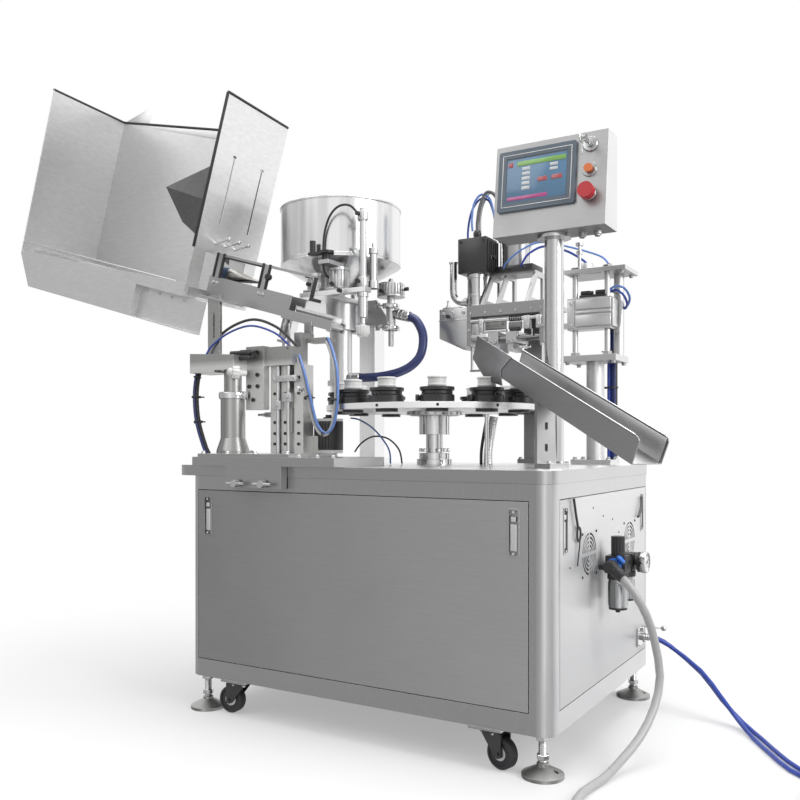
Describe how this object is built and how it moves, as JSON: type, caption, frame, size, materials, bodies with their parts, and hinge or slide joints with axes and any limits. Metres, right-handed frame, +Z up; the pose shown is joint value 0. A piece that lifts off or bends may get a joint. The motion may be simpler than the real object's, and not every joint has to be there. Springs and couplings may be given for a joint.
{
  "type": "tube filling machine",
  "caption": "Rotary tube filling and sealing machine on a stainless cabinet, with indexing dial, tube loader, filler tank, sealer, trimmer, chute and control box.",
  "frame": {"origin": "on the floor, below the middle of the cabinet", "axes": "+X to the right along the cabinet's front, +Y to the back, +Z up"},
  "size_m": [2.6495, 1.3099, 1.917],
  "materials": {
    "steel": "satin brushed stainless steel",
    "panel_steel": "fine brushed stainless sheet",
    "polished": "polished",
    "aluminium": "machined, satin",
    "box_paint": "satin",
    "drive_paint": "satin",
    "black_plastic": "matte",
    "white_plastic": "smooth",
    "bezel": "satin",
    "amber_plastic": "clear lens",
    "red_plastic": "smooth",
    "fork_zinc": "satin",
    "wheel_rubber": "matte",
    "blue_hose": "smooth",
    "white_hose": "smooth"
  },
  "bodies": {
    "machine": {"cabinet_frame": "steel", "table_top": "panel_steel", "side_panel": "panel_steel", "fan_housing": "black_plastic", "levelling_feet": "steel", "index_drive": "drive_paint", "electrical_panel": "drive_paint", "index_column": "polished", "hmi_pole": "polished", "discharge_chute": "panel_steel", "chute_bracket": "steel", "loader_base": "steel", "loader_column": "aluminium", "loader_head": "aluminium", "tube_bin": "steel", "bin_end_wall": "steel", "feed_rail": "steel", "filling_tank": "steel", "tank_stand": "steel", "filling_head": "aluminium", "hoses": "blue_hose", "sealer_frame": "steel", "sealer_head": "black_plastic", "trim_stand": "aluminium", "filter_regulator": "black_plastic", "air_hose": "white_hose", "air_coil": "white_hose", "water_hoses": "blue_hose", "water_coil": "blue_hose", "hose_ends": "polished"},
    "front_panel": {"front_panel": "panel_steel"},
    "fan": {"fan_rotor": "black_plastic"},
    "fork_fl": {"caster_fork_fl": "fork_zinc"},
    "wheel_fl": {"caster_wheel_fl": "wheel_rubber"},
    "fork_fr": {"caster_fork_fr": "fork_zinc"},
    "wheel_fr": {"caster_wheel_fr": "wheel_rubber"},
    "fork_rl": {"caster_fork_rl": "fork_zinc"},
    "wheel_rl": {"caster_wheel_rl": "wheel_rubber"},
    "fork_rr": {"caster_fork_rr": "fork_zinc"},
    "wheel_rr": {"caster_wheel_rr": "wheel_rubber"},
    "dial": {"index_shaft": "polished", "dial_plate": "aluminium", "cup_holders": "black_plastic", "cup_inserts": "white_plastic"},
    "control_box": {"hmi_box": "box_paint", "touch_panel": "bezel"},
    "key": {"key_switch": "polished"},
    "start": {"start_button": "amber_plastic"},
    "stop": {"stop_button": "red_plastic"},
    "ejector": {"ejector_rod": "polished"},
    "clamp_left": {"clamp_screw_left": "polished"},
    "clamp_right": {"clamp_screw_right": "polished"},
    "flip": {"flip_cup": "white_plastic"},
    "gate": {"stop_gate": "polished"},
    "lever": {"valve_lever": "black_plastic"},
    "needle": {"nozzle_needle": "polished"},
    "inner_jaw": {"jaw_inner": "aluminium"},
    "outer_jaw": {"jaw_outer": "aluminium"},
    "trimmer": {"trim_carriage": "aluminium"},
    "knob": {"regulator_knob": "black_plastic"}
  },
  "joints": [
    {"name": "front_panel_off", "type": "slide", "parent": "machine", "child": "front_panel", "axis": [0, -1, 0], "range_m": [0, 0.3]},
    {"name": "fan_spin", "type": "hinge", "parent": "machine", "child": "fan", "pos_m": [0.511, -0.149, 0.488], "axis": [1, 0, 0], "continuous": true},
    {"name": "caster_turn_fl", "type": "hinge", "parent": "machine", "child": "fork_fl", "pos_m": [-0.385, -0.366, 0.09], "axis": [0, 0, 1], "continuous": true},
    {"name": "wheel_spin_fl", "type": "hinge", "parent": "fork_fl", "child": "wheel_fl", "pos_m": [-0.41683, -0.36934, 0.0395], "axis": [0.1045, -0.9945, 0], "continuous": true},
    {"name": "caster_turn_fr", "type": "hinge", "parent": "machine", "child": "fork_fr", "pos_m": [0.385, -0.366, 0.09], "axis": [0, 0, 1], "continuous": true},
    {"name": "wheel_spin_fr", "type": "hinge", "parent": "fork_fr", "child": "wheel_fr", "pos_m": [0.41605, -0.37374, 0.0395], "axis": [0.2419, 0.9703, 0], "continuous": true},
    {"name": "caster_turn_rl", "type": "hinge", "parent": "machine", "child": "fork_rl", "pos_m": [-0.385, 0.366, 0.09], "axis": [0, 0, 1], "continuous": true},
    {"name": "wheel_spin_rl", "type": "hinge", "parent": "fork_rl", "child": "wheel_rl", "pos_m": [-0.41669, 0.37045, 0.0395], "axis": [-0.1392, -0.9903, 0], "continuous": true},
    {"name": "caster_turn_rr", "type": "hinge", "parent": "machine", "child": "fork_rr", "pos_m": [0.385, 0.366, 0.09], "axis": [0, 0, 1], "continuous": true},
    {"name": "wheel_spin_rr", "type": "hinge", "parent": "fork_rr", "child": "wheel_rr", "pos_m": [0.41651, 0.37156, 0.0395], "axis": [-0.1736, 0.9848, 0], "continuous": true},
    {"name": "dial_turn", "type": "hinge", "parent": "machine", "child": "dial", "pos_m": [0.032, 0, 0.862], "axis": [0, 0, 1], "continuous": true},
    {"name": "box_turn", "type": "hinge", "parent": "machine", "child": "control_box", "pos_m": [0.437, -0.094, 1.3], "axis": [0, 0, 1], "range_deg": [-60, 60]},
    {"name": "key_turn", "type": "hinge", "parent": "control_box", "child": "key", "pos_m": [0.543, -0.12016, 1.51272], "axis": [0, 0.9925, -0.1219], "range_deg": [0, 90]},
    {"name": "start_press", "type": "slide", "parent": "control_box", "child": "start", "axis": [0, 0.9925, -0.1219], "range_m": [0, 0.004], "stiffness_N_per_m": 500},
    {"name": "stop_press", "type": "slide", "parent": "control_box", "child": "stop", "axis": [0, 0.9925, -0.1219], "range_m": [0, 0.0045], "stiffness_N_per_m": 800},
    {"name": "ejector_lift", "type": "slide", "parent": "machine", "child": "ejector", "axis": [0, 0, 1], "range_m": [0, 0.06]},
    {"name": "clamp_left_turn", "type": "hinge", "parent": "machine", "child": "clamp_left", "pos_m": [-0.3405, -0.431, 0.653], "axis": [0, 1, 0], "range_deg": [-180, 180]},
    {"name": "clamp_right_turn", "type": "hinge", "parent": "machine", "child": "clamp_right", "pos_m": [-0.248, -0.431, 0.653], "axis": [0, 1, 0], "range_deg": [-180, 180]},
    {"name": "flip_turn", "type": "hinge", "parent": "machine", "child": "flip", "pos_m": [-0.22906, -0.13573, 1.10563], "axis": [-0.1045, 0.9945, 0], "range_deg": [0, 74]},
    {"name": "gate_drop", "type": "slide", "parent": "machine", "child": "gate", "axis": [-0.2741, -0.0288, -0.9613], "range_m": [0, 0.04]},
    {"name": "lever_turn", "type": "hinge", "parent": "machine", "child": "lever", "pos_m": [-0.262, -0.13, 1.326], "axis": [0, 0, 1], "range_deg": [0, 90]},
    {"name": "needle_lift", "type": "slide", "parent": "machine", "child": "needle", "axis": [0, 0, 1], "range_m": [0, 0.012]},
    {"name": "jaw_close_inner", "type": "slide", "parent": "machine", "child": "inner_jaw", "axis": [1, 0, 0], "range_m": [0, 0.012]},
    {"name": "jaw_close_outer", "type": "slide", "parent": "machine", "child": "outer_jaw", "axis": [-1, 0, 0], "range_m": [0, 0.012]},
    {"name": "trim_slide", "type": "slide", "parent": "machine", "child": "trimmer", "axis": [0, 0, 1], "range_m": [-0.03, 0.04]},
    {"name": "knob_turn", "type": "hinge", "parent": "machine", "child": "knob", "pos_m": [0.596, -0.064, 0.5], "axis": [0, 0, 1], "range_deg": [-360, 360]}
  ],
  "couplings": [
    {"joint": "jaw_close_outer", "follows": "jaw_close_inner", "ratio": 1}
  ]
}
